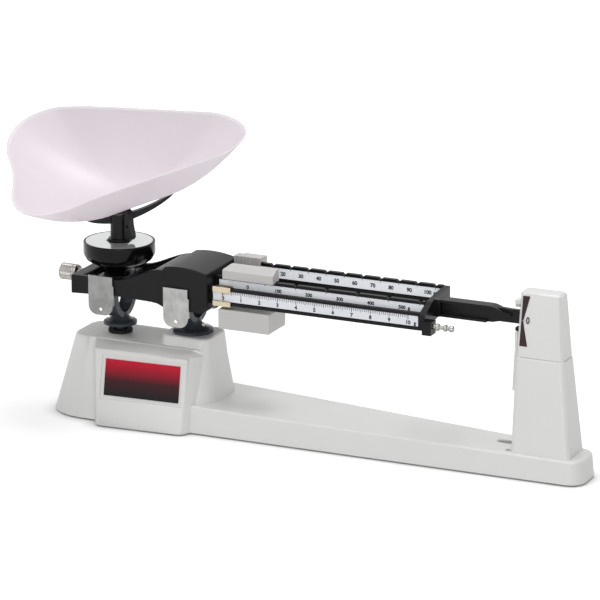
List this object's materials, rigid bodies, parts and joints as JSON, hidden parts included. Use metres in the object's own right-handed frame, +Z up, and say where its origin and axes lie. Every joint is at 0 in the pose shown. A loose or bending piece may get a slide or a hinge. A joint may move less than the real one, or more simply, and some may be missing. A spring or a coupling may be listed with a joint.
{
  "type": "triple beam balance",
  "caption": "Mechanical triple beam balance: a scoop on a knife-edge beam with three notched scale beams and sliding poises, swinging at a zero dial on a cast base.",
  "frame": {"origin": "on the table, straight under the fulcrum knife edge, in the middle of the beam casting's length plane", "axes": "+X along the beam towards the zero dial, +Y to the back, +Z up"},
  "size_m": [0.5367, 0.161, 0.2587],
  "materials": {
    "warm_white_paint": "semi-gloss baked enamel over a sand casting",
    "black_paint": "satin black enamel",
    "dark_fork": "dark grey gloss enamel",
    "steel_sheet": "brushed stainless sheet",
    "turned_steel": "turned and polished",
    "poise_metal": "satin zinc, pale grey coat",
    "brass_rider": "pale nickelled brass",
    "scale_white": "pale blue-white printed strip",
    "agate": "polished agate",
    "rubber_black": "moulded rubber",
    "scoop_plastic": "translucent pinkish white moulding",
    "disc_white": "pale liner disc",
    "dial_black": "printed mark",
    "label_print": null,
    "copper_vane": "copper strip",
    "magnet": "ferrite"
  },
  "bodies": {
    "base": {"base_casting": "warm_white_paint", "rubber_feet": "rubber_black", "tower_shell": "warm_white_paint", "tower_cap": "warm_white_paint", "tower_screws": "turned_steel", "zero_dial": "dial_black", "upper_stop_pad": "rubber_black", "lower_stop_pad": "rubber_black", "magnet_bracket": "steel_sheet", "damper_magnets": "magnet", "fulcrum_post": "dark_fork", "fulcrum_bearings": "agate", "post_screws": "turned_steel", "stem_bushing": "rubber_black", "link_bracket": "steel_sheet", "link_pin": "turned_steel", "label_plate": "label_print"},
    "check_link": {"check_link": "steel_sheet", "stem_pin": "turned_steel"},
    "beam": {"beam_casting": "black_paint", "rear_beam": "black_paint", "middle_beam": "black_paint", "front_beam": "black_paint", "rear_scale": "scale_white", "middle_scale": "scale_white", "front_scale": "scale_white", "end_plate": "black_paint", "pointer_arm": "black_paint", "damper_vane": "copper_vane", "fulcrum_knife": "turned_steel", "load_knife": "turned_steel", "front_fulcrum_cover": "steel_sheet", "rear_fulcrum_cover": "steel_sheet", "front_load_cover": "steel_sheet", "rear_load_cover": "steel_sheet", "weight_pin": "turned_steel", "zero_stud": "turned_steel"},
    "zero_knob": {"zero_knob": "turned_steel"},
    "hanger": {"hanger_fork": "dark_fork", "load_bearings": "agate", "pan_cup": "black_paint", "cup_disc": "disc_white"},
    "cradle": {"cradle_post": "black_paint", "cradle_clip": "black_paint", "cradle_arms": "black_paint"},
    "scoop": {"scoop": "scoop_plastic"},
    "front_rider": {"front_rider": "brass_rider"},
    "middle_poise": {"middle_poise": "poise_metal", "middle_plug": "turned_steel"},
    "rear_poise": {"rear_poise": "poise_metal", "rear_plug": "turned_steel"}
  },
  "joints": [
    {"name": "beam_swing", "type": "hinge", "parent": "base", "child": "beam", "pos_m": [0, 0, 0.118], "axis": [0, 1, 0], "range_deg": [-0.55, 0.55]},
    {"name": "hanger_pivot", "type": "hinge", "parent": "beam", "child": "hanger", "pos_m": [-0.07, 0, 0.118], "axis": [0, 1, 0], "range_deg": [-0.55, 0.55]},
    {"name": "check_link_swing", "type": "hinge", "parent": "base", "child": "check_link", "pos_m": [0, 0, 0.036], "axis": [0, 1, 0], "range_deg": [-0.55, 0.55]},
    {"name": "cradle_swivel", "type": "hinge", "parent": "hanger", "child": "cradle", "pos_m": [-0.07, 0, 0.152], "axis": [0, 0, 1], "continuous": true},
    {"name": "scoop_lift", "type": "slide", "parent": "cradle", "child": "scoop", "axis": [0, 0, 1], "range_m": [0, 0.05]},
    {"name": "rear_poise_slide", "type": "slide", "parent": "beam", "child": "rear_poise", "axis": [1, 0, 0], "range_m": [0, 0.166]},
    {"name": "middle_poise_slide", "type": "slide", "parent": "beam", "child": "middle_poise", "axis": [1, 0, 0], "range_m": [0, 0.141]},
    {"name": "front_rider_slide", "type": "slide", "parent": "beam", "child": "front_rider", "axis": [1, 0, 0], "range_m": [0, 0.169]},
    {"name": "zero_knob_turn", "type": "hinge", "parent": "beam", "child": "zero_knob", "pos_m": [-0.11, 0, 0.118], "axis": [1, 0, 0], "continuous": true}
  ],
  "couplings": [
    {"joint": "hanger_pivot", "follows": "beam_swing", "ratio": -1},
    {"joint": "check_link_swing", "follows": "beam_swing", "ratio": 1}
  ]
}
